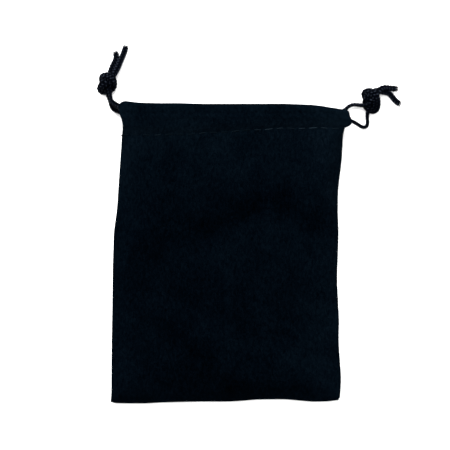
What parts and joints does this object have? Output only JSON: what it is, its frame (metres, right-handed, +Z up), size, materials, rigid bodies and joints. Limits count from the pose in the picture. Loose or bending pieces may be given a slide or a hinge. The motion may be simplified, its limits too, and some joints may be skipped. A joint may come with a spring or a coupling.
{
  "type": "drawstring dice bag",
  "caption": "Small flat cloth pouch for gaming dice, closed by two drawstrings that run through a stitched casing at the mouth and are knotted at opposite sides.",
  "frame": {"origin": "middle of the bag without its free cord ends, on the face that the bag lies on", "axes": "+Z up off the surface the bag lies on, +Y from the closed bottom to the mouth, +X to the right seen from the front"},
  "size_m": [0.1351, 0.1589, 0.0115],
  "materials": {
    "cloth": "matt brushed nap, near black with a cool cast",
    "hem_cloth": "the same cloth, folded in as hem and seam allowance",
    "cord": "round braided cord, soft satin",
    "thread": "twisted sewing thread, slight shine"
  },
  "bodies": {
    "bag": {"back_panel": "cloth", "front_panel": "cloth", "back_casing": "hem_cloth", "front_casing": "hem_cloth", "left_seam_allowance": "hem_cloth", "right_seam_allowance": "hem_cloth", "bottom_seam_allowance": "hem_cloth", "left_seam_thread": "thread", "right_seam_thread": "thread", "bottom_seam_thread": "thread", "back_casing_thread": "thread", "front_casing_thread": "thread"},
    "left_drawstring": {"left_cord_loop": "cord"},
    "left_cord_end": {"left_cord_front_end": "cord", "left_cord_back_end": "cord", "left_knot": "cord", "left_tail_short": "cord", "left_tail_long": "cord"},
    "right_drawstring": {"right_cord_loop": "cord"},
    "right_cord_end": {"right_cord_front_end": "cord", "right_cord_back_end": "cord", "right_knot": "cord", "right_tail_upper": "cord", "right_tail_lower": "cord"}
  },
  "joints": [
    {"name": "left_cord_pull", "type": "slide", "parent": "bag", "child": "left_drawstring", "axis": [-1, 0, 0], "range_m": [0, 0.03], "deforming": ["front_casing", "back_casing"]},
    {"name": "left_knot_swing", "type": "hinge", "parent": "left_drawstring", "child": "left_cord_end", "pos_m": [-0.0495, 0.0635, 0], "axis": [0, 0, 1], "range_deg": [-40, 60], "deforming": ["left_cord_front_end", "left_cord_back_end"]},
    {"name": "right_cord_pull", "type": "slide", "parent": "bag", "child": "right_drawstring", "axis": [1, 0, 0], "range_m": [0, 0.03], "deforming": ["front_casing", "back_casing"]},
    {"name": "right_knot_swing", "type": "hinge", "parent": "right_drawstring", "child": "right_cord_end", "pos_m": [0.052, 0.0615, 0], "axis": [0, 0, 1], "range_deg": [-20, 45], "deforming": ["right_cord_front_end", "right_cord_back_end"]}
  ]
}
